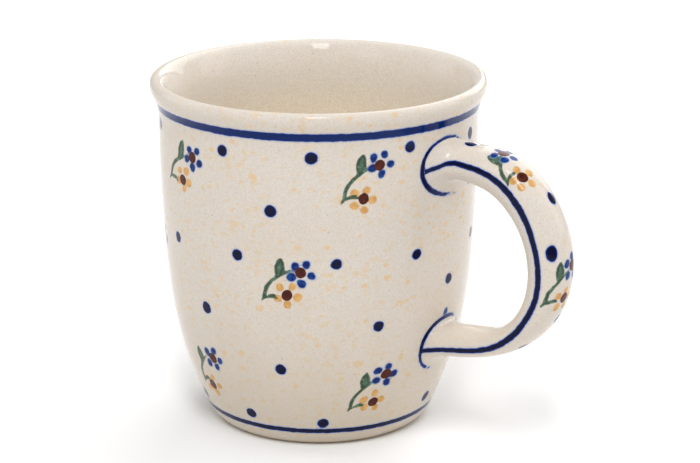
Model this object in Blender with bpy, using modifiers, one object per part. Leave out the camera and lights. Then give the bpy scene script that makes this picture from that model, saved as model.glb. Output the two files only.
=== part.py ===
"""A stoneware mug: a round body with a rolled lip and a foot ring, a strap handle, and the two slip joints
that stick the handle to the wall.

Metres, +Z up, handle along +X. The shapes are made about the mug's own axis. The last step slides all of
them along X, so that the origin is the centre of the whole object's footprint, on the table.
"""

import math

import bmesh
import bpy
from mathutils import Vector
from mathutils.geometry import interpolate_bezier

MM = 0.001

# The body, as (radius, height) in millimetres. Smooth curves run through the points of each list.
OUTSIDE = [
    (41.4, 90.0),
    (42.6, 89.3),
    (42.9, 88.1),
    (42.3, 86.0),
    (41.2, 83.2),
    (40.8, 79.0),
    (40.7, 68.0),
    (39.9, 50.0),
    (37.9, 30.0),
    (34.2, 15.0),
    (30.2, 4.8),
    (28.2, 1.3),
    (26.5, 0.0),
]
UNDERSIDE = [
    (23.5, 0.0),
    (22.7, 0.7),
    (22.0, 2.2),
    (20.5, 3.0),
    (0.0, 3.0),
]
INSIDE = [
    (0.0, 7.5),
    (13.0, 7.7),
    (22.5, 9.5),
    (28.6, 15.6),
    (33.3, 30.0),
    (35.6, 50.0),
    (36.7, 75.0),
    (37.5, 83.5),
    (39.2, 88.2),
    (40.4, 89.7),
]
STEPS_PER_SPAN = 2
TURN_STEPS = 72

# The handle, from its top end to its lower end, as (distance from the mug's axis, height, half the width,
# half the thickness) in millimetres. It spreads into a foot where it meets the wall. Both ends run on into
# the wall, where they are trimmed away.
HANDLE_STATIONS = [
    (34.0, 73.0, 12.2, 7.6),
    (39.0, 73.2, 12.0, 7.4),
    (41.0, 73.5, 9.6, 6.9),
    (43.5, 73.9, 7.4, 5.7),
    (47.0, 74.2, 6.4, 5.0),
    (54.0, 72.3, 6.2, 5.3),
    (61.7, 66.9, 6.2, 5.6),
    (67.2, 57.5, 6.4, 5.4),
    (68.2, 46.5, 6.5, 4.9),
    (64.2, 36.4, 6.5, 4.1),
    (54.7, 29.2, 6.6, 3.4),
    (45.0, 27.2, 6.9, 3.7),
    (41.5, 26.6, 7.2, 4.4),
    (39.0, 26.0, 7.7, 5.5),
    (37.0, 25.5, 8.2, 6.7),
    (32.0, 24.4, 8.4, 7.0),
]
RINGS_PER_SPAN = 3
RING_POINTS = 32
ROUNDNESS = 2.2

# The slip joints: how thick the layer is, and the gap left on each side of it.
SLIP_THICKNESS = 1.2 * MM
GAP = 0.3 * MM
SLIP_RINGS = 10

GLAZE_CREAM = (0.80, 0.74, 0.66)
SLIP_CREAM = (0.78, 0.71, 0.62)


def clear_scene():
    for obj in list(bpy.data.objects):
        bpy.data.objects.remove(obj, do_unlink=True)


def new_collection(name):
    collection = bpy.data.collections.new(name)
    bpy.context.scene.collection.children.link(collection)
    return collection


def new_material(name, colour, roughness):
    material = bpy.data.materials.new(name)
    material.use_nodes = True
    shader = material.node_tree.nodes["Principled BSDF"]
    shader.inputs["Base Color"].default_value = (*colour, 1.0)
    shader.inputs["Roughness"].default_value = roughness
    shader.inputs["Metallic"].default_value = 0.0
    return material


def new_object(name, mesh, collection, material=None):
    obj = bpy.data.objects.new(name, mesh)
    collection.objects.link(obj)
    if material:
        mesh.materials.append(material)
    return obj


def smooth_run(knots, steps):
    """A smooth run of points through the knots: at each knot it heads from the knot before to the one after."""
    headings = []
    for index in range(len(knots)):
        before = knots[max(index - 1, 0)]
        after = knots[min(index + 1, len(knots) - 1)]
        headings.append((after - before).normalized())
    points = []
    for index in range(len(knots) - 1):
        start = knots[index]
        end = knots[index + 1]
        pull = (end - start).length / 3
        leave = start + headings[index] * pull
        arrive = end - headings[index + 1] * pull
        span = interpolate_bezier(start, leave, arrive, end, steps + 1)
        points.extend(span[:-1])
    points.append(knots[-1])
    return points


def turned(name, profile, collection, material=None):
    """A profile in the XZ plane, closed by the Z axis or by its own last edge, turned once about Z."""
    mesh = bpy.data.meshes.new(name)
    count = len(profile)
    edges = []
    for index in range(count):
        following = (index + 1) % count
        if profile[index].x > 0 or profile[following].x > 0:
            edges.append((index, following))
    mesh.from_pydata(profile, edges, [])
    obj = new_object(name, mesh, collection, material)
    screw = obj.modifiers.new("Turn", "SCREW")
    screw.axis = "Z"
    screw.angle = 2 * math.pi
    screw.steps = TURN_STEPS
    screw.render_steps = TURN_STEPS
    screw.use_merge_vertices = True
    screw.merge_threshold = 0.00002
    return obj


def body_side(outline):
    """One side of the body's profile as a smooth run of points."""
    return smooth_run([Vector((radius, 0.0, height)) * MM for radius, height in outline], STEPS_PER_SPAN)


def wall_core(name, clearance, collection):
    """The space inside the body's outer face, grown outwards by a clearance. It trims what meets the wall."""
    side = [point + Vector((clearance, 0.0, 0.0)) for point in body_side(OUTSIDE)]
    top = Vector((0.0, 0.0, side[0].z))
    bottom = Vector((0.0, 0.0, side[-1].z))
    core = turned(name, [top, *side, bottom], collection)
    core.hide_render = True
    core.display_type = "WIRE"
    return core


def section(centre, along, half_width, half_thickness):
    """A rounded ring of points square to the handle's middle line."""
    across = Vector((0.0, 1.0, 0.0))
    outward = across.cross(along)
    power = 2 / ROUNDNESS
    ring = []
    for step in range(RING_POINTS):
        angle = 2 * math.pi * step / RING_POINTS
        side = math.copysign(abs(math.sin(angle)) ** power, math.sin(angle))
        rise = math.copysign(abs(math.cos(angle)) ** power, math.cos(angle))
        ring.append(centre + across * (half_width * side) + outward * (half_thickness * rise))
    return ring


def handle_rings():
    """Closed rings of points across the handle, from its top end to its lower end."""
    middle = [Vector((reach, 0.0, height)) * MM for reach, height, _, _ in HANDLE_STATIONS]
    halves = [Vector((width, thickness, 0.0)) * MM for _, _, width, thickness in HANDLE_STATIONS]
    centres = smooth_run(middle, RINGS_PER_SPAN)
    sizes = smooth_run(halves, RINGS_PER_SPAN)
    rings = []
    for index, centre in enumerate(centres):
        before = centres[max(index - 1, 0)]
        after = centres[min(index + 1, len(centres) - 1)]
        along = (after - before).normalized()
        rings.append(section(centre, along, sizes[index].x, sizes[index].y))
    return rings


def skinned(name, rings, collection, material=None):
    """A closed solid over a run of rings that all have the same number of points."""
    shape = bmesh.new()
    loops = [[shape.verts.new(point) for point in ring] for ring in rings]
    for first, second in zip(loops, loops[1:]):
        for index in range(RING_POINTS):
            following = (index + 1) % RING_POINTS
            shape.faces.new((first[index], first[following], second[following], second[index]))
    shape.faces.new(loops[0])
    shape.faces.new(loops[-1])
    bmesh.ops.recalc_face_normals(shape, faces=shape.faces)
    mesh = bpy.data.meshes.new(name)
    shape.to_mesh(mesh)
    shape.free()
    return new_object(name, mesh, collection, material)


def boolean(obj, cutter, operation):
    modifier = obj.modifiers.new(operation.title(), "BOOLEAN")
    modifier.operation = operation
    modifier.object = cutter
    modifier.solver = "EXACT"


def shade(obj):
    bpy.context.view_layer.objects.active = obj
    obj.select_set(True)
    bpy.ops.object.shade_smooth()
    obj.select_set(False)
    obj.data.set_sharp_from_angle(angle=math.radians(40))


def centre_on_footprint(objects):
    """Slides every object along X until the middle of all of them is at X = 0."""
    bpy.context.view_layer.update()
    graph = bpy.context.evaluated_depsgraph_get()
    reach = []
    for obj in objects:
        reach.extend(corner[0] for corner in obj.evaluated_get(graph).bound_box)
    middle = (min(reach) + max(reach)) / 2
    for obj in bpy.data.objects:
        obj.location.x -= middle


clear_scene()
mug = new_collection("stoneware_mug")
helpers = new_collection("trimming_helpers")
glaze = new_material("cream_glaze", GLAZE_CREAM, 0.12)
slip = new_material("glazed_slip", SLIP_CREAM, 0.15)

body_profile = body_side(OUTSIDE) + body_side(UNDERSIDE) + body_side(INSIDE)
body = turned("mug_body", body_profile, mug, glaze)

slip_inner_face = wall_core("slip_inner_face", GAP, helpers)
slip_outer_face = wall_core("slip_outer_face", GAP + SLIP_THICKNESS, helpers)
handle_end_face = wall_core("handle_end_face", GAP + SLIP_THICKNESS + GAP, helpers)

rings = handle_rings()
handle = skinned("handle", rings, mug, glaze)
boolean(handle, handle_end_face, "DIFFERENCE")

upper_slip = skinned("upper_slip_joint", rings[:SLIP_RINGS], mug, slip)
lower_slip = skinned("lower_slip_joint", rings[-SLIP_RINGS:], mug, slip)
for joint in (upper_slip, lower_slip):
    boolean(joint, slip_outer_face, "INTERSECT")
    boolean(joint, slip_inner_face, "DIFFERENCE")

pieces = [body, handle, upper_slip, lower_slip]
for piece in pieces:
    shade(piece)
centre_on_footprint(pieces)
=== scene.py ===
"""The looks of a stoneware mug with stamped flowers: its glazed meshes, their paint and the studio."""

import math

import bpy
import numpy as np
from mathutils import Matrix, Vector


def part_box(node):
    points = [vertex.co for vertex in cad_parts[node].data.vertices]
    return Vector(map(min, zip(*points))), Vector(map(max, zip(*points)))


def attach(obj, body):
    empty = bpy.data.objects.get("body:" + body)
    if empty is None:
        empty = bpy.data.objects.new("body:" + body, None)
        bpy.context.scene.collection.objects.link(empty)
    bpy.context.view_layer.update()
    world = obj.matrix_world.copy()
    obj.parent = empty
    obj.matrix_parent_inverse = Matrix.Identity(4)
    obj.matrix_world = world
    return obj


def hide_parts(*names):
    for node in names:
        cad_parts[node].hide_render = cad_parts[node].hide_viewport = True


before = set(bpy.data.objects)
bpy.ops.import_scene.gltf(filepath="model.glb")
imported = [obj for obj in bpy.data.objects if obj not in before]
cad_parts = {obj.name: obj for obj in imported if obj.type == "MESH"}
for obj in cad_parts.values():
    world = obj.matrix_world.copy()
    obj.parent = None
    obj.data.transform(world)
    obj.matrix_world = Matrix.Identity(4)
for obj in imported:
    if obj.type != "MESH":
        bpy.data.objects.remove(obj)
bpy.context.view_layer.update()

MM = 0.001

# Outlines as (radius, height) and handle stations, in millimetres from the middle of the foot.
INSIDE = (
    (-13.0, 7.7),
    (0.0, 7.5),
    (13.0, 7.7),
    (22.5, 9.5),
    (28.6, 15.6),
    (33.3, 30.0),
    (35.6, 50.0),
    (36.7, 75.0),
    (37.5, 83.5),
    (39.2, 88.2),
    (40.4, 89.7),
)
OUTSIDE = (
    (41.4, 90.0),
    (42.6, 89.3),
    (42.9, 88.1),
    (42.3, 86.0),
    (41.2, 83.2),
    (40.8, 79.0),
    (40.7, 68.0),
    (39.9, 50.0),
    (37.9, 30.0),
    (34.2, 15.0),
    (30.2, 4.8),
    (28.2, 1.3),
    (26.5, 0.0),
)
UNDERSIDE = ((23.5, 0.0), (22.7, 0.7), (22.0, 2.2), (20.5, 3.0), (0.0, 3.0))
# The body's mesh: how many columns round it, and how far apart its rows are along each part of its outline.
COLUMNS = 480
FINE_ROW = 0.05
INSIDE_ROW = 2.8
LIP_ROW = 0.4
OUTSIDE_ROW = 0.7
UNDERSIDE_ROW = 1.5
LIP_REACH = 3.0
# The foot is bare clay below this height and beyond this radius.
BARE_HEIGHT = 0.8
BARE_RADIUS = 22.4

# The strap's middle line as (reach, height, half width, half thickness), from the top foot down.
STRAP = (
    (46.6, 73.7, 6.5, 4.6),
    (54.0, 72.3, 6.2, 5.3),
    (61.7, 66.9, 6.2, 5.6),
    (67.2, 57.5, 6.4, 5.4),
    (68.2, 46.5, 6.5, 4.9),
    (64.2, 36.4, 6.5, 4.1),
    (54.7, 29.2, 6.6, 3.4),
    (44.6, 27.1, 6.9, 3.7),
)
# The power of its sections, which are superellipses: at 2 they would be plain ellipses.
SECTION_POWER = 2.2
RING_POINTS = 96
STRAP_ROW = 0.5
# Where each foot meets the wall: its middle round the wall and up it, its half width and half height,
# its lean in degrees and how much its far side droops.
UPPER_RING = (-1.8, 72.7, 10.3, 7.2, -8.0, 0.05)
LOWER_RING = (0.6, 25.2, 9.0, 6.9, 0.0, 0.0)
RING_POWER = 2.2
# The fillet from each foot's ring to the strap: its rows, how far its curve is pulled into the corner at
# the strap's sides and at its faces, the steps that find the corner, the share of the rows that the slip
# joint has, and how far the foot is sunk into the wall.
FILLET_ROWS = 18
SIDE_PULL = 0.6
FACE_PULL = 0.85
CORNER_STEPS = 20
JOINT_SHARE = 0.4
SUNK = 0.04
# The radius at which distances round the wall are measured.
WALL_RADIUS = 40.0

# The seed of every random draw.
SEED = 11


# ---------------------------------------------------------------- curves and grids


def natural_curve(knots, row):
    """Points about `row` apart on the natural cubic through the knots."""
    knots = np.array(knots, float)
    count = len(knots)
    chords = np.linalg.norm(np.diff(knots[:, :2], axis=0), axis=1)
    slopes = np.diff(knots, axis=0) / chords[:, None]
    system = np.eye(count)
    change = np.zeros_like(knots)
    for i in range(1, count - 1):
        system[i, i - 1 : i + 2] = chords[i - 1], 2 * (chords[i - 1] + chords[i]), chords[i]
        change[i] = 6 * (slopes[i] - slopes[i - 1])
    bends = np.linalg.solve(system, change)
    points = []
    for i, chord in enumerate(chords):
        steps = max(1, round(chord / row))
        for step in range(steps):
            b = step / steps
            a = 1 - b
            curved = (a**3 - a) * bends[i] + (b**3 - b) * bends[i + 1]
            points.append(a * knots[i] + b * knots[i + 1] + curved * chord**2 / 6)
    return np.array(points + [knots[-1]])


def lengths_along(points):
    """The distance walked along the points, from 0 at the first."""
    steps = np.linalg.norm(np.diff(points, axis=0), axis=-1)
    return np.concatenate([np.zeros_like(steps[:1]), np.cumsum(steps, axis=0)])


def resampled(points, start, end, row):
    """Points about `row` apart on a polyline, between two distances along it."""
    walked = lengths_along(points)
    wanted = np.linspace(start, end, max(2, round((end - start) / row) + 1))
    return np.stack([np.interp(wanted, walked, points[:, k]) for k in range(points.shape[1])], axis=1)


def body_outline():
    """The closed outline from the floor's middle over the lip to the underside's middle."""
    fine = natural_curve(INSIDE + OUTSIDE, FINE_ROW)
    fine = fine[np.argmax(fine[:, 0] >= 0) :]
    walked = lengths_along(fine)
    top = walked[np.argmax(fine[:, 1])]
    inside = resampled(fine, 0, top - LIP_REACH, INSIDE_ROW)
    lip = resampled(fine, top - LIP_REACH, top + LIP_REACH, LIP_ROW)
    outside = resampled(fine, top + LIP_REACH, walked[-1], OUTSIDE_ROW)
    under = natural_curve(UNDERSIDE, FINE_ROW)
    under = resampled(under, 0, lengths_along(under)[-1], UNDERSIDE_ROW)
    return np.concatenate([inside, lip[1:], outside[1:], under])


def wall_outline():
    """The outside only, from the lip down, as (radius, height)."""
    fine = natural_curve(INSIDE + OUTSIDE, FINE_ROW)
    return fine[np.argmax(fine[:, 1]) :]


WALL = wall_outline()


def wall_radius(height):
    """The outside's radius at a height."""
    return np.interp(height, WALL[::-1, 1], WALL[::-1, 0])


def superellipse(angle, power):
    """A rounded-square ring of half size 1."""
    cosine = np.cos(angle)
    sine = np.sin(angle)
    return (
        np.sign(cosine) * np.abs(cosine) ** (2 / power),
        np.sign(sine) * np.abs(sine) ** (2 / power),
    )


def off_the_wall(points):
    """Points as (distance round the wall, height, distance off the wall)."""
    x, y, z = np.moveaxis(points, -1, 0)
    return np.stack([np.arctan2(y, x) * WALL_RADIUS, z, np.hypot(x, y) - wall_radius(z)], axis=-1)


def onto_the_wall(points):
    """The reverse of off_the_wall."""
    around, height, off = np.moveaxis(points, -1, 0)
    radius = wall_radius(height) + off
    angle = around / WALL_RADIUS
    return np.stack([radius * np.cos(angle), radius * np.sin(angle), height], axis=-1)


def strap_rings():
    """The strap's rings, and each ring's heading along the strap."""
    line = natural_curve(STRAP, STRAP_ROW)
    heading = np.gradient(line[:, :2], axis=0)
    heading /= np.linalg.norm(heading, axis=1)[:, None]
    angle = np.arange(RING_POINTS) * math.tau / RING_POINTS
    across, out = superellipse(angle, SECTION_POWER)
    rings = np.empty((len(line), RING_POINTS, 3))
    for i, (reach, height, half_width, half_thickness) in enumerate(line):
        rings[i, :, 0] = reach - heading[i, 1] * out * half_thickness
        rings[i, :, 1] = across * half_width
        rings[i, :, 2] = height + heading[i, 0] * out * half_thickness
    return rings, np.stack([heading[:, 0], 0 * heading[:, 0], heading[:, 1]], axis=1)


def foot_ring(foot, side, count):
    """The ring where a foot meets the wall, as distances round the wall and heights."""
    middle, height, half_width, half_height, lean, droop = foot
    angle = np.arange(count) * math.tau / count
    across, up = superellipse(angle, RING_POWER)
    across = across * half_width
    up = up * half_height * side
    turn = math.radians(lean)
    around = middle + across * math.cos(turn) - up * math.sin(turn)
    height = height + up * math.cos(turn) + across * math.sin(turn)
    return around, height - droop * np.maximum(0, around - middle) ** 2


def fillet(ring, towards_wall, foot, side):
    """Rows from the wall to the strap's end ring, leaving the wall flat and joining the strap straight."""
    around, height = foot_ring(foot, side, RING_POINTS)
    start = np.stack([around, height, np.full(RING_POINTS, -SUNK)], axis=-1)
    angle = np.arange(RING_POINTS) * math.tau / RING_POINTS
    pull = (SIDE_PULL + (FACE_PULL - SIDE_PULL) * np.sin(angle) ** 2)[:, None]
    reached = ring.copy()
    for _ in range(CORNER_STEPS):
        reached = reached + towards_wall * off_the_wall(reached)[:, 2:]
    corner = off_the_wall(reached)
    end = off_the_wall(ring)
    leave = start + (corner - start) * pull
    arrive = end + (corner - end) * pull
    rows = []
    for b in np.linspace(0, 1, FILLET_ROWS):
        a = 1 - b
        rows.append(a**3 * start + 3 * a * a * b * leave + 3 * a * b * b * arrive + b**3 * end)
    return onto_the_wall(np.array(rows))


def handle_grid():
    """The whole handle with both fillets, as rows of ring points from the top foot to the bottom one."""
    rings, heading = strap_rings()
    upper = fillet(rings[0], -heading[0], UPPER_RING, 1)
    lower = fillet(rings[-1], heading[-1], LOWER_RING, -1)
    return np.concatenate([upper[:-1], rings, lower[::-1][1:]])


def grid_normals(grid):
    """Unit normals of a grid that closes round its columns."""
    round_it = np.roll(grid, -1, axis=1) - np.roll(grid, 1, axis=1)
    along = np.gradient(grid, axis=0)
    normals = np.cross(round_it, along)
    return normals / np.linalg.norm(normals, axis=2)[..., None]


# ---------------------------------------------------------------- paint, as distances in millimetres


# A sprig's drawing in millimetres from its blue flower's middle, x to the right and y up,
# with the half width of the brush last.
OCHRE_FLOWER = (-3.9, -8.2)
STEM = np.array(
    (
        (-1.6, -0.3, 0.25),
        (-2.9, -0.8, 0.40),
        (-4.6, -1.6, 0.46),
        (-6.0, -2.6, 0.46),
        (-7.5, -3.9, 0.48),
        (-8.7, -5.5, 0.50),
        (-9.2, -7.2, 0.50),
        (-9.3, -8.4, 0.50),
        (-10.2, -9.9, 0.2),
    )
)
BRANCH = np.array(((-9.2, -8.7, 0.40), (-7.8, -8.2, 0.48), (-6.7, -8.0, 0.54), (-5.9, -8.4, 0.4)))
LEAF = np.array(
    (
        (-5.5, -2.4, 0.4),
        (-5.3, -1.2, 1.15),
        (-5.15, 0.1, 1.38),
        (-5.0, 1.3, 1.1),
        (-4.8, 2.3, 0.6),
    )
)
PETALS = 5
PETAL_REACH = 2.5
PETAL_SIZE = 1.1
PETAL_TURN = 66.0
CENTRE_SIZE = 1.53
DOT_SIZE = 1.52
# Where nothing is painted, the distance to the paint.
FAR = 99.0
# The line round a foot is measured from this many points, one a degree, and this far beyond its ring.
LINE_SAMPLES = 360
LINE_MARGIN = 4.0

# Sprigs on the wall: degrees round from the handle, height, the flowers' tilt and spread, and the green's.
# Where a sprig's green parts are pressed off their place, how far right and up comes last.
WALL_SPRIGS = (
    (-104.6, 75.2, -10, 0.83, -11, 1.0),
    (-34.0, 76.8, -2, 1.09, -1, 0.96, 0.0, -0.2),
    (37.0, 76.0, 3, 0.95, -2, 0.92),
    (110.0, 75.5, -4, 0.92, 0, 1.04),
    (-178.0, 76.5, 5, 1.0, 6, 0.95),
    (-61.7, 49.6, -6, 0.76, -1, 0.92, -0.65, 1.0),
    (-135.5, 50.0, 2, 0.95, 5, 1.05),
    (150.0, 49.5, -3, 0.90, -8, 0.9),
    (76.0, 50.5, 4, 0.97, 2, 1.0),
    (-103.0, 22.2, 4, 1.06, 15, 0.84, -1.6, 0.6),
    (-28.4, 20.6, 9, 0.93, 8, 0.9, -0.6, -0.65),
    (42.0, 21.5, -2, 0.96, -5, 1.0),
    (112.0, 22.0, 2, 0.9, 5, 0.94),
    (-176.0, 22.0, -4, 0.98, -3, 1.06),
)
# Dots on the wall: degrees round from the handle and height.
WALL_DOTS = (
    (-132.0, 79.6),
    (-90.3, 78.9),
    (-57.9, 78.9),
    (-22.7, 80.0),
    (12.1, 78.5),
    (54.0, 79.0),
    (92.0, 79.6),
    (127.0, 79.0),
    (161.0, 78.7),
    (-144.0, 65.0),
    (-72.2, 65.2),
    (73.0, 64.9),
    (145.0, 65.5),
    (-155.0, 52.3),
    (-117.2, 52.7),
    (-85.4, 52.9),
    (-49.4, 52.0),
    (-18.6, 52.1),
    (19.2, 51.2),
    (55.0, 52.2),
    (92.0, 52.6),
    (128.0, 52.0),
    (163.0, 52.4),
    (0.0, 42.6),
    (-178.0, 35.3),
    (-101.9, 36.6),
    (-33.2, 34.6),
    (37.0, 35.6),
    (110.0, 35.1),
    (-142.0, 23.6),
    (-70.7, 23.2),
    (74.0, 23.0),
    (146.0, 23.5),
    (-160.0, 8.6),
    (-124.0, 8.3),
    (-88.6, 8.3),
    (-54.0, 7.3),
    (2.8, 8.9),
    (20.0, 8.1),
    (56.0, 7.7),
    (90.0, 8.4),
    (127.0, 8.2),
    (162.0, 7.8),
)
# Bands round the wall: height and half width.
WALL_BANDS = ((84.1, 1.13), (4.7, 0.77))
# The brush lines' half widths. Round each foot they go by degrees from the far side over the strap's outer
# face, and down each side by millimetres. Where the half width is below 0 the brush was lifted.
UPPER_LINE = (
    (0, 0.5),
    (28, 0.4),
    (42, -0.4),
    (62, -0.4),
    (72, 0.2),
    (90, 0.5),
    (140, 0.5),
    (200, 0.72),
    (240, 0.74),
    (268, 0.4),
    (284, 0.1),
    (296, -0.4),
    (344, -0.4),
    (360, 0.5),
)
LOWER_LINE = (
    (0, 0.45),
    (30, 0.3),
    (40, -0.3),
    (52, 0.0),
    (64, 0.45),
    (90, 0.58),
    (180, 0.66),
    (235, 0.45),
    (256, 0.1),
    (266, -0.4),
    (300, -0.4),
    (318, 0.3),
    (360, 0.45),
)
SIDE_LINE = (
    (0, 0.6),
    (8, 0.74),
    (18, 0.84),
    (28, 0.94),
    (40, 0.84),
    (56, 0.78),
    (70, 0.82),
    (88, 0.76),
    (104, 0.66),
)
# A dab of thin blue: degrees round from the handle and height, then its half sizes and its turn.
SMUDGE = (0.4, 33.4)
SMUDGE_SHAPE = (1.0, 1.3, -0.35)
# Sprigs on the handle: millimetres along its outer face, then across it, then as above.
# Dots on the handle end with how much longer they are than wide.
HANDLE_SPRIGS = (
    (15.2, -0.8, 7, 0.95, 2, 0.76, 0.7, 0.7),
    (48.9, 1.4, 11, 0.92, 6, 0.93),
    (81.0, 3.0, 4, 0.9, 4, 0.8),
)
HANDLE_DOTS = (
    (5.3, -0.4, 1.0),
    (31.2, 0.5, 1.2),
    (38.0, 5.6, 1.1),
    (44.0, -5.4, 1.4),
    (63.6, 1.4, 1.0),
    (74.2, -2.2, 0.9),
    (72.5, 5.0, 1.1),
)
# How far the line down each side strays towards the outer face: (along, strayed), in millimetres.
SIDE_STRAY = (
    (0, -1.5),
    (2.5, 0.5),
    (4.5, 1.0),
    (11, 0.8),
    (24, 0.4),
    (40, -0.1),
    (56, 0.2),
    (67, -0.2),
    (80, 0.4),
    (104, 0.8),
)


def nearest(distances):
    """The smallest of several distances at each point."""
    return np.minimum.reduce(distances)


def blob(x, y, at_x, at_y, half_x, half_y, turn):
    """Signed distance, near enough, to an ellipse."""
    dx = x - at_x
    dy = y - at_y
    along = dx * math.cos(turn) + dy * math.sin(turn)
    aside = dy * math.cos(turn) - dx * math.sin(turn)
    return (np.hypot(along / half_x, aside / half_y) - 1) * min(half_x, half_y)


def stroke(x, y, line):
    """Signed distance to a brush stroke through (x, y, half width) points."""
    parts = []
    for (x0, y0, w0), (x1, y1, w1) in zip(line, line[1:]):
        dx = x1 - x0
        dy = y1 - y0
        share = np.clip(((x - x0) * dx + (y - y0) * dy) / (dx * dx + dy * dy), 0, 1)
        away = np.hypot(x - x0 - share * dx, y - y0 - share * dy)
        parts.append(away - w0 - share * (w1 - w0))
    return nearest(parts)


def stamped_flower(x, y, at, draws):
    """A flower's petals and its middle, each pressed a little off its place."""
    first = math.radians(PETAL_TURN + draws.uniform(-8, 8))
    petals = []
    for i in range(PETALS):
        turn = first + i * math.tau / PETALS + draws.uniform(-0.07, 0.07)
        reach = PETAL_REACH + draws.uniform(-0.18, 0.18)
        size = PETAL_SIZE + draws.uniform(-0.1, 0.1)
        petal_x = at[0] + reach * math.cos(turn)
        petal_y = at[1] + reach * math.sin(turn)
        petals.append(blob(x, y, petal_x, petal_y, size * 1.08, size * 0.94, turn + draws.uniform(-0.9, 0.9)))
    shift = draws.uniform(-0.4, 0.4, 2)
    size = CENTRE_SIZE + draws.uniform(-0.08, 0.08)
    centre = blob(x, y, at[0] + shift[0], at[1] + shift[1], size, size * 0.94, draws.uniform(0, 3))
    return nearest(petals), centre


def turned(x, y, degrees):
    """Distances along and aside of a direction so many degrees round from x."""
    turn = math.radians(degrees)
    return x * math.cos(turn) + y * math.sin(turn), y * math.cos(turn) - x * math.sin(turn)


def draw_sprig(paint, x, y, sprig, draws):
    """Adds one sprig to the paint, with x and y measured from its blue flower."""
    tilt, spread, green_tilt, green_spread, *shift = sprig
    right, lift = shift or (0, 0)
    along, up = turned(x, y, tilt)
    petals, centre = stamped_flower(along, up, (0, 0), draws)
    low = [spread * part for part in OCHRE_FLOWER]
    low_petals, low_centre = stamped_flower(along, up, low, draws)
    along, up = turned(x - right, y - lift, green_tilt)
    stretch = (green_spread, green_spread, 1)
    green = nearest([stroke(along, up, line * stretch) for line in (STEM, BRANCH, LEAF)])
    for name, distance in (
        ("blue", petals),
        ("ochre", low_petals),
        ("brown", np.minimum(centre, low_centre)),
        ("green", green),
    ):
        paint[name] = np.minimum(paint[name], distance)


def new_paint(shape):
    """No paint yet: each pigment's distances, all far."""
    return {name: np.full(shape, FAR) for name in ("cobalt", "blue", "ochre", "brown", "green")}


def wrapped(degrees):
    """Degrees brought into -180 to 180."""
    return (degrees + 180) % 360 - 180


def foot_line(around, height, foot, side, widths):
    """Signed distance to the line round a foot of the handle, on the wall."""
    ring_around, ring_height = foot_ring(foot, side, LINE_SAMPLES)
    half = np.interp(side * np.arange(LINE_SAMPLES) % 360, *np.transpose(widths))
    away = np.full(around.shape, FAR)
    middle, level, half_width, half_height, *_ = foot
    near = np.abs(around - middle) < half_width + LINE_MARGIN
    near &= np.abs(height - level) < half_height + LINE_MARGIN
    dx = around[near][:, None] - ring_around
    dy = height[near][:, None] - ring_height
    away[near] = (np.hypot(dx, dy) - half).min(axis=1)
    return away


def paint_wall(outline, degrees):
    """The paint of the body's grid, whose rows follow the outline and columns the degrees."""
    draws = np.random.default_rng(SEED)
    radius, height = outline[:, 0], outline[:, 1]
    walked = lengths_along(outline)
    outer = np.arange(len(outline)) > np.argmax(height)
    paint = new_paint((len(outline), len(degrees)))
    outer_heights = height[outer][::-1]
    outer_walk = walked[outer][::-1]

    def local(angle, at_height):
        """Distances to the right and up from a place on the wall."""
        x = radius[:, None] * np.radians(wrapped(degrees - angle))[None, :]
        y = np.interp(at_height, outer_heights, outer_walk) - walked
        return np.where(outer[:, None], x, FAR), np.broadcast_to(y[:, None], x.shape)

    for angle, at_height, *sprig in WALL_SPRIGS:
        x, y = local(angle, at_height)
        draw_sprig(paint, x, y, sprig, draws)
    for angle, at_height in WALL_DOTS:
        x, y = local(angle, at_height)
        size = DOT_SIZE + draws.uniform(-0.12, 0.1)
        dot = blob(x, y, 0, 0, size, size * draws.uniform(0.93, 1.07), draws.uniform(0, 3))
        paint["cobalt"] = np.minimum(paint["cobalt"], dot)
    for at_height, half_width in WALL_BANDS:
        x, y = local(0, at_height)
        band = np.where(outer[:, None], np.abs(y) - half_width, FAR)
        paint["cobalt"] = np.minimum(paint["cobalt"], band)
    x, y = local(*SMUDGE)
    paint["blue"] = np.minimum(paint["blue"], blob(x, y, 0, 0, *SMUDGE_SHAPE))
    heights = np.where(outer, height, FAR)[:, None] + np.zeros(len(degrees))
    around = np.radians(wrapped(degrees)) * WALL_RADIUS + np.zeros((len(outline), 1))
    for foot, side, widths in ((UPPER_RING, 1, UPPER_LINE), (LOWER_RING, -1, LOWER_LINE)):
        paint["cobalt"] = np.minimum(paint["cobalt"], foot_line(around, heights, foot, side, widths))
    return paint


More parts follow.
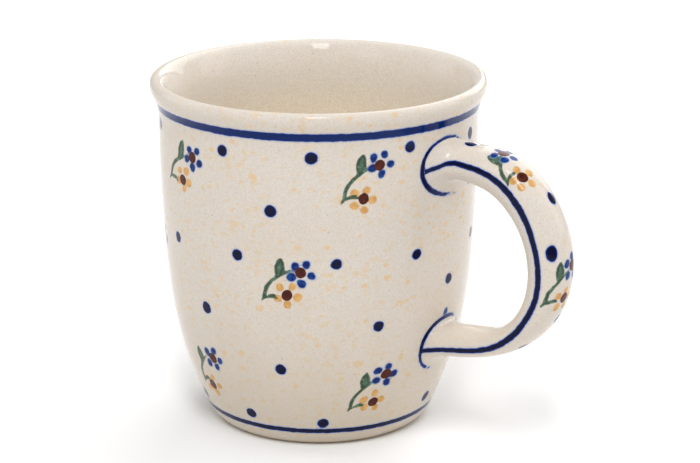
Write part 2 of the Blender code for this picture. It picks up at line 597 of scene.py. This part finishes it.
def paint_handle(grid):
    """The paint of the handle's grid, and of both of its feet."""
    draws = np.random.default_rng(SEED + 1)
    outer = RING_POINTS // 4
    along = lengths_along(grid[:, outer])[:, None] + np.zeros(grid.shape[:2])
    ring = np.concatenate([grid, grid[:, :1]], axis=1)
    walked = lengths_along(ring.transpose(1, 0, 2)).T
    total = walked[:, -1:]
    across = walked[:, outer : outer + 1] - walked[:, :-1]
    across = np.where(across < -total / 2, across + total, across)
    strayed = np.interp(along[:, :1], *np.transpose(SIDE_STRAY))
    half = walked[:, RING_POINTS // 2 : RING_POINTS // 2 + 1]
    near_side = np.abs(walked[:, :-1] - strayed)
    near_side = np.minimum(near_side, total - near_side)
    side = np.minimum(near_side, np.abs(walked[:, :-1] - half + strayed))
    rows = lengths_along(grid)
    paint = new_paint(grid.shape[:2])
    for s, t, *sprig in HANDLE_SPRIGS:
        draw_sprig(paint, across - t, s - along, sprig, draws)
    for s, t, longer in HANDLE_DOTS:
        size = DOT_SIZE + draws.uniform(-0.12, 0.05)
        paint["cobalt"] = np.minimum(paint["cobalt"], blob(across, along, t, s, size, size * longer, 0))
    turns = np.arange(RING_POINTS) * 360 / RING_POINTS
    upper = rows - np.interp(turns, *np.transpose(UPPER_LINE))
    lower = rows[-1:] - rows - np.interp(-turns % 360, *np.transpose(LOWER_LINE))
    side = side - np.interp(along, *np.transpose(SIDE_LINE))
    paint["cobalt"] = nearest([paint["cobalt"], side, upper, lower])
    return paint


# ---------------------------------------------------------------- meshes


axis_x = (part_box("mug_body")[0].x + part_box("mug_body")[1].x) / 2


def in_frame(points):
    """Points in the mug's own millimetres, in the frame's metres."""
    return points * MM + np.array([axis_x, 0, 0])


def add_mesh(name, points, faces, materials):
    """A smooth object of points in millimetres."""
    mesh = bpy.data.meshes.new(name)
    mesh.from_pydata(in_frame(points).tolist(), [], faces)
    for material in materials:
        mesh.materials.append(material)
    mesh.shade_smooth()
    piece = bpy.data.objects.new(name, mesh)
    bpy.context.scene.collection.objects.link(piece)
    return piece


def grid_faces(rows, columns):
    """Quads of a grid that closes round its columns."""
    faces = []
    for row in range(rows - 1):
        for column in range(columns):
            after = (column + 1) % columns
            low = row * columns
            faces.append((low + column, low + after, low + columns + after, low + columns + column))
    return faces


def set_paint(piece, paint, spare):
    """Stores each pigment's distances as a vertex attribute; the spare last vertices have none."""
    for name, distances in paint.items():
        layer = piece.data.attributes.new(name, "FLOAT", "POINT")
        values = np.concatenate([distances.ravel(), np.full(spare, FAR)])
        layer.data.foreach_set("value", values.astype(np.float32))


def make_body(glaze, inside, bare):
    """The turned body: one closed skin, glazed inside and out and bare on its foot ring."""
    outline = body_outline()
    degrees = np.arange(COLUMNS) * 360 / COLUMNS
    angle = np.radians(degrees)
    inner, outer = outline[0], outline[-1]
    rows = outline[1:-1]
    grid = np.stack(
        [
            rows[:, :1] * np.cos(angle),
            rows[:, :1] * np.sin(angle),
            np.repeat(rows[:, 1:], COLUMNS, axis=1),
        ],
        axis=2,
    )
    points = np.concatenate([grid.reshape(-1, 3), [[0, 0, inner[1]], [0, 0, outer[1]]]])
    faces = [face[::-1] for face in grid_faces(len(rows), COLUMNS)]
    first = len(points) - 2
    last = len(points) - 1
    tail = (len(rows) - 1) * COLUMNS
    for column in range(COLUMNS):
        after = (column + 1) % COLUMNS
        faces.append((first, column, after))
        faces.append((last, tail + after, tail + column))
    piece = add_mesh("glazed_mug_body", points, faces, (glaze, inside, bare))
    set_paint(piece, paint_wall(rows, degrees), 2)
    top = np.argmax(rows[:, 1])
    slots = np.zeros(len(faces), int)
    row_of = np.repeat(np.arange(len(rows) - 1), COLUMNS)
    middle = (rows[1:] + rows[:-1]) / 2
    on_foot = (middle[:, 1] < BARE_HEIGHT) & (middle[:, 0] > BARE_RADIUS)
    slots[: len(row_of)] = np.where(on_foot[row_of], 2, np.where(row_of < top - 1, 1, 0))
    slots[len(row_of) :] = 1
    piece.data.polygons.foreach_set("material_index", slots.astype(np.int32))
    return piece


def make_tube(name, grid, normals, paint, material):
    """A closed length of the handle, with the whole handle's normals so that lengths join smoothly."""
    rows, columns = grid.shape[:2]
    ends = [grid[0].mean(axis=0), grid[-1].mean(axis=0)]
    points = np.concatenate([grid.reshape(-1, 3), ends])
    faces = grid_faces(rows, columns)
    first = rows * columns
    tail = (rows - 1) * columns
    for column in range(columns):
        after = (column + 1) % columns
        faces.append((first, after, column))
        faces.append((first + 1, tail + column, tail + after))
    piece = add_mesh(name, points, faces, (material,))
    set_paint(piece, paint, 2)
    caps = np.array([[0, 0, 1.0], [0, 0, 1.0]])
    piece.data.normals_split_custom_set_from_vertices(np.concatenate([normals.reshape(-1, 3), caps]).tolist())
    return piece


# ---------------------------------------------------------------- materials


def srgb(red, green, blue):
    """A colour given as on a screen, from 0 to 255, in the renderer's own terms."""
    shares = [part / 255 for part in (red, green, blue)]
    return tuple(s / 12.92 if s <= 0.04045 else ((s + 0.055) / 1.055) ** 2.4 for s in shares) + (1.0,)


class Shading:
    """One material's node tree, with short names for the nodes used here."""

    def __init__(self, name):
        self.material = bpy.data.materials.new(name)
        self.material.use_nodes = True
        self.tree = self.material.node_tree
        self.shader = self.tree.nodes["Principled BSDF"]
        coordinates = self.tree.nodes.new("ShaderNodeTexCoord")
        self.place = self.vector("SCALE", coordinates.outputs["Object"], scale=1 / MM)

    def put(self, socket, value):
        """Gives a socket a constant or another node's output."""
        if isinstance(value, bpy.types.NodeSocket):
            self.tree.links.new(value, socket)
        else:
            socket.default_value = value

    def math(self, operation, *values):
        """The result of a sum on numbers or outputs."""
        node = self.tree.nodes.new("ShaderNodeMath")
        node.operation = operation
        for socket, value in zip(node.inputs, values):
            self.put(socket, value)
        return node.outputs[0]

    def vector(self, operation, *values, scale=None):
        """The result of a sum on places."""
        node = self.tree.nodes.new("ShaderNodeVectorMath")
        node.operation = operation
        for socket, value in zip(node.inputs, values):
            self.put(socket, value)
        if scale is not None:
            node.inputs["Scale"].default_value = scale
        return node.outputs[0]

    def distance(self, name):
        """The distance in millimetres to one pigment's edge, below 0 inside it."""
        node = self.tree.nodes.new("ShaderNodeAttribute")
        node.attribute_name = name
        return node.outputs["Fac"]

    def height(self):
        """The height in millimetres."""
        split = self.tree.nodes.new("ShaderNodeSeparateXYZ")
        self.put(split.inputs[0], self.place)
        return split.outputs["Z"]

    def noise(self, size, detail=2.0, stretch=(1, 1, 1)):
        """Noise from 0 to 1 whose lumps are about `size` millimetres."""
        node = self.tree.nodes.new("ShaderNodeTexNoise")
        self.put(node.inputs["Vector"], self.vector("MULTIPLY", self.place, stretch))
        node.inputs["Scale"].default_value = 1 / size
        node.inputs["Detail"].default_value = detail
        return node.outputs["Fac"]

    def fade(self, value, start, end):
        """0 where the value is at `start` and 1 where it is at `end`, with soft ends."""
        node = self.tree.nodes.new("ShaderNodeMapRange")
        node.interpolation_type = "SMOOTHSTEP"
        self.put(node.inputs["Value"], value)
        node.inputs["From Min"].default_value = start
        node.inputs["From Max"].default_value = end
        return node.outputs["Result"]

    def mix(self, factor, first, second):
        """The first colour where the factor is 0 and the second where it is 1."""
        node = self.tree.nodes.new("ShaderNodeMix")
        node.data_type = "RGBA"
        self.put(node.inputs[0], factor)
        self.put(node.inputs[6], first)
        self.put(node.inputs[7], second)
        return node.outputs[2]

    def spots(self, size, chosen, radius, stretch, ragged):
        """0 to 1 inside scattered spots: one in some cells of `size` millimetres, of up to `radius`."""
        place = self.vector("MULTIPLY", self.place, stretch)
        wander = self.tree.nodes.new("ShaderNodeTexNoise")
        self.put(wander.inputs["Vector"], place)
        wander.inputs["Scale"].default_value = 1.6
        wander.inputs["Detail"].default_value = 3.0
        off = self.vector("SUBTRACT", wander.outputs["Color"], (0.5, 0.5, 0.5))
        place = self.vector("ADD", place, self.vector("SCALE", off, scale=ragged))
        cells = self.tree.nodes.new("ShaderNodeTexVoronoi")
        self.put(cells.inputs["Vector"], place)
        cells.inputs["Scale"].default_value = 1 / size
        split = self.tree.nodes.new("ShaderNodeSeparateColor")
        self.put(split.inputs[0], cells.outputs["Color"])
        picked = self.fade(split.outputs[0], 1 - chosen, 1.0)
        away = self.math("MULTIPLY", cells.outputs["Distance"], size)
        edge = self.math("SUBTRACT", self.math("MULTIPLY", picked, radius), away)
        return self.fade(edge, -0.15, 0.35)

    def finish(self, colour, roughness, bump, specular):
        """Puts the colour, the roughness, the bump in millimetres and the shine on the material."""
        self.put(self.shader.inputs["Base Color"], colour)
        self.put(self.shader.inputs["Roughness"], roughness)
        self.shader.inputs["Specular IOR Level"].default_value = specular
        node = self.tree.nodes.new("ShaderNodeBump")
        node.inputs["Strength"].default_value = 1.0
        node.inputs["Distance"].default_value = MM
        self.put(node.inputs["Height"], bump)
        self.put(self.shader.inputs["Normal"], node.outputs["Normal"])
        return self.material


GLOSS = 0.16
GRIT = 0.4


def cream_coat(shading, pale, warm, speckle):
    """The cream glaze's colour: mottled and grainy, with ochre flecks and a few dark specks, and painted
    shade that darkens and browns it towards the bottom.
    """
    flat = (1.0, 1.0, 1.4)
    colour = shading.mix(shading.noise(14.0, 3.0), pale, warm)
    grain = shading.fade(shading.noise(0.42, 3.0), 0.3, 0.75)
    colour = shading.mix(shading.math("MULTIPLY", grain, GRIT), colour, srgb(186, 176, 162))
    patches = shading.math("MULTIPLY_ADD", shading.noise(12.0, 2.0), 0.25, -0.125)
    faint = shading.math("ADD", shading.noise(2.0, 4.0, flat), patches)
    faint = shading.math("MULTIPLY", shading.fade(faint, 0.53, 0.7), 0.46)
    small = shading.spots(3.1, 0.52, 1.0, flat, 1.5)
    large = shading.spots(6.5, 0.4, 1.5, flat, 2.2)
    broken = shading.fade(shading.noise(1.1, 3.0), 0.26, 0.44)
    strong = shading.math("MULTIPLY", shading.math("MAXIMUM", small, large), broken)
    ochre = shading.math("MAXIMUM", faint, shading.math("MULTIPLY", strong, 0.74))
    colour = shading.mix(shading.math("MULTIPLY", ochre, speckle), colour, srgb(219, 181, 116))
    # Painted shade: below 50 mm the glaze is mixed towards a darker brown cream, growing down to the foot,
    # for the shade low on the mug.
    low = shading.fade(shading.height(), 50.0, -2.0)
    colour = shading.mix(shading.math("MULTIPLY", low, 0.45), colour, srgb(194, 180, 156))
    specks = shading.spots(2.4, 0.3, 0.26, (1, 1, 1), 0.3)
    return shading.mix(shading.math("MULTIPLY", specks, 0.55), colour, srgb(112, 98, 86))


def glaze_bump(shading):
    """The glaze's slow waves and its fine orange peel, in millimetres."""
    slow = shading.math("MULTIPLY", shading.noise(9.0, 1.0), 0.02)
    return shading.math("MULTIPLY_ADD", shading.noise(1.1, 2.0), 0.002, slow)


def ochre_paint(shading, colour, away, wash):
    """Thin ochre over the colour, `away` being the distance to its edge."""
    tone = shading.mix(shading.fade(wash, 0.3, 0.7), srgb(218, 166, 92), srgb(190, 136, 60))
    cover = shading.math("MULTIPLY", shading.fade(away, 0.18, -0.22), 0.9)
    return shading.mix(cover, colour, tone)


def green_paint(shading, colour, away, wash):
    """Brushed green, darkest just inside its edge."""
    inner = shading.math("MULTIPLY", shading.fade(away, -0.5, -1.0), 0.55)
    tone = shading.mix(shading.fade(away, -0.1, -0.6), srgb(50, 80, 60), srgb(4, 44, 32))
    tone = shading.mix(inner, tone, srgb(72, 112, 88))
    tone = shading.mix(shading.fade(wash, 0.48, 0.72), tone, srgb(84, 120, 92))
    cover = shading.math("MULTIPLY", shading.fade(away, 0.14, -0.14), 0.95)
    return shading.mix(cover, colour, tone)


def blue_paint(shading, colour, away, wash):
    """Stamped blue with a pale halo."""
    halo = shading.math("MULTIPLY", shading.fade(away, 0.6, 0.0), 0.35)
    colour = shading.mix(halo, colour, srgb(132, 166, 200))
    tone = shading.mix(shading.fade(away, 0.05, -0.4), srgb(12, 66, 146), srgb(0, 28, 98))
    thin = shading.math("MULTIPLY", shading.fade(wash, 0.45, 0.7), 0.4)
    tone = shading.mix(thin, tone, srgb(36, 96, 172))
    return shading.mix(shading.fade(away, 0.16, -0.18), colour, tone)


def brown_paint(shading, colour, away, wash):
    """Thick brown."""
    tone = shading.mix(shading.fade(wash, 0.3, 0.7), srgb(84, 34, 20), srgb(60, 18, 8))
    return shading.mix(shading.fade(away, 0.08, -0.1), colour, tone)


def cobalt_paint(shading, colour, away):
    """Thick cobalt, blue at its edge and nearly black inside, but thinner in the band under the lip."""
    halo = shading.math("MULTIPLY", shading.fade(away, 0.6, 0.0), 0.38)
    colour = shading.mix(halo, colour, srgb(132, 160, 198))
    thin = shading.fade(shading.height(), 79.0, 82.0)
    core = shading.mix(thin, srgb(0, 4, 42), srgb(0, 32, 92))
    tone = shading.mix(shading.fade(away, 0.05, -0.42), srgb(0, 54, 150), core)
    return shading.mix(shading.fade(away, 0.12, -0.12), colour, tone)


def painted_glaze(name, speckle):
    """Cream glaze over stamped and brushed pigments, whose wavering edges bleed a little into it."""
    shading = Shading(name)
    colour = cream_coat(shading, srgb(219, 211, 203), srgb(213, 202, 189), speckle)
    waver = shading.math("MULTIPLY_ADD", shading.noise(1.6, 3.0), 0.5, -0.25)
    wash = shading.noise(1.2, 3.0)

    def edge(pigment):
        return shading.math("ADD", shading.distance(pigment), waver)

    colour = ochre_paint(shading, colour, edge("ochre"), wash)
    colour = green_paint(shading, colour, edge("green"), wash)
    colour = blue_paint(shading, colour, edge("blue"), wash)
    colour = brown_paint(shading, colour, edge("brown"), wash)
    colour = cobalt_paint(shading, colour, edge("cobalt"))
    roughness = shading.math("MULTIPLY_ADD", shading.noise(5.0, 2.0), 0.04, 0.025)
    return shading.finish(colour, roughness, glaze_bump(shading), GLOSS)


def plain_glaze(name):
    """The glaze inside, with fainter flecks: below the lip it is painted brighter and yellower than outside,
    as painted light for the warm light bouncing round inside the cup.
    """
    shading = Shading(name)
    # Painted light: the deep inside is brighter and yellower, and it fades to nearly the outside's cream at
    # the lip.
    rise = shading.fade(shading.height(), 62.0, 84.0)
    pale = shading.mix(rise, srgb(244, 233, 211), srgb(225, 218, 211))
    warm = shading.mix(rise, srgb(237, 222, 194), srgb(220, 211, 199))
    colour = cream_coat(shading, pale, warm, 0.2)
    roughness = shading.math("MULTIPLY_ADD", shading.noise(5.0, 2.0), 0.04, 0.03)
    return shading.finish(colour, roughness, glaze_bump(shading), GLOSS)


def bare_clay(name):
    """The unglazed ring under the foot: buff, matt and sandy."""
    shading = Shading(name)
    grain = shading.noise(0.5, 4.0)
    colour = shading.mix(grain, srgb(208, 192, 168), srgb(178, 158, 132))
    specks = shading.spots(1.4, 0.3, 0.2, (1, 1, 1), 0.2)
    colour = shading.mix(shading.math("MULTIPLY", specks, 0.6), colour, srgb(110, 86, 64))
    return shading.finish(colour, 0.85, shading.math("MULTIPLY", grain, 0.06), 0.3)


# ---------------------------------------------------------------- studio


# The camera, in metres and degrees, with its turn round the mug measured from straight in front.
CAMERA_TURN = 34.7
CAMERA_AWAY = 0.5767
CAMERA_HEIGHT = 0.2251
CAMERA_TILT = 17.06
CAMERA_PAN = 0.79
LENS = 119.65
# Soft lamps: degrees round from the camera, height, distance away, size and power.
SOFTBOXES = {
    "left_softbox": (-115, 0.45, 0.8, (0.4, 0.7), 0.9),
    "right_softbox": (95, 0.45, 0.8, (0.4, 0.7), 1.6),
    "right_back_softbox": (150, 0.6, 0.8, (0.8, 0.9), 5.6),
    "overhead_softbox": (0, 1.0, 0.25, (0.6, 0.6), 1.4),
    "key_softbox": (-2, 1.03, 0.7, (0.2, 0.6), 5.8),
    "left_front_softbox": (-44, 0.68, 0.78, (0.3, 0.5), 1.1),
}
SKY = 0.48
MIDDLE_HEIGHT = 0.045
FLOOR_HALF = 4.0


def around_the_mug(degrees, away, height):
    """A place at degrees round from straight in front of the mug, in metres."""
    turn = math.radians(degrees)
    return Vector((axis_x + away * math.sin(turn), -away * math.cos(turn), height))


def add_camera():
    data = bpy.data.cameras.new("camera")
    data.lens = LENS
    camera = bpy.data.objects.new("camera", data)
    camera.location = around_the_mug(CAMERA_TURN, CAMERA_AWAY, CAMERA_HEIGHT)
    camera.rotation_euler = (math.radians(90 - CAMERA_TILT), 0, math.radians(CAMERA_TURN - CAMERA_PAN))
    bpy.context.scene.collection.objects.link(camera)
    bpy.context.scene.camera = camera


def add_softbox(name, turn, height, away, size, power):
    """A soft lamp at degrees round from the camera, aimed at the mug's middle."""
    data = bpy.data.lights.new(name, "AREA")
    data.shape = "RECTANGLE"
    data.size, data.size_y = size
    data.energy = power
    lamp = bpy.data.objects.new(name, data)
    lamp.location = around_the_mug(CAMERA_TURN + turn, away, height)
    aim = Vector((axis_x, 0, MIDDLE_HEIGHT)) - lamp.location
    lamp.rotation_euler = aim.to_track_quat("-Z", "Y").to_euler()
    bpy.context.scene.collection.objects.link(lamp)


def add_world():
    """An even pale light from all round."""
    world = bpy.data.worlds.new("studio")
    world.use_nodes = True
    background = world.node_tree.nodes["Background"]
    background.inputs["Color"].default_value = (1, 1, 1, 1)
    background.inputs["Strength"].default_value = SKY
    bpy.context.scene.world = world


def floor_paper():
    """White matt paper with a faint tooth."""
    shading = Shading("floor_paper")
    colour = shading.mix(shading.noise(30.0, 2.0), (0.88, 0.88, 0.88, 1), (0.9, 0.9, 0.9, 1))
    return shading.finish(colour, 0.9, shading.math("MULTIPLY", shading.noise(2.0, 2.0), 0.002), 0.0)


def add_floor():
    mesh = bpy.data.meshes.new("floor")
    corners = [(x * FLOOR_HALF, y * FLOOR_HALF, 0) for x, y in ((-1, -1), (1, -1), (1, 1), (-1, 1))]
    mesh.from_pydata(corners, [], [(0, 1, 2, 3)])
    mesh.materials.append(floor_paper())
    floor = bpy.data.objects.new("floor", mesh)
    bpy.context.scene.collection.objects.link(floor)


def add_studio():
    add_world()
    for name, lamp in SOFTBOXES.items():
        add_softbox(name, *lamp)
    add_floor()
    bpy.context.scene.view_settings.view_transform = "Standard"


# ---------------------------------------------------------------- the mug


def dress(piece, node):
    """Puts a piece in its node's place."""
    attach(piece, "root")
    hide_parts(node)


def make_mug():
    """The body, and the handle cut into its strap and its two smoothed joints."""
    glaze = painted_glaze("painted_cream_glaze", 0.8)
    smooth = painted_glaze("painted_handle_glaze", 0.3)
    inside = plain_glaze("inner_cream_glaze")
    bare = bare_clay("bare_stoneware")
    dress(make_body(glaze, inside, bare), "mug_body")
    grid = handle_grid()
    normals = grid_normals(grid)
    paint = paint_handle(grid)
    joint = round(FILLET_ROWS * JOINT_SHARE)
    last = len(grid) - 1 - joint
    for name, node, slot, rows in (
        ("glazed_handle", "handle", "cream_glaze", slice(joint, last + 1)),
        ("upper_smoothed_joint", "upper_slip_joint", "glazed_slip", slice(0, joint + 1)),
        ("lower_smoothed_joint", "lower_slip_joint", "glazed_slip", slice(last, len(grid))),
    ):
        part = {pigment: distances[rows] for pigment, distances in paint.items()}
        dress(make_tube(name, grid[rows], normals[rows], part, smooth), node)


add_camera()
add_studio()
make_mug()
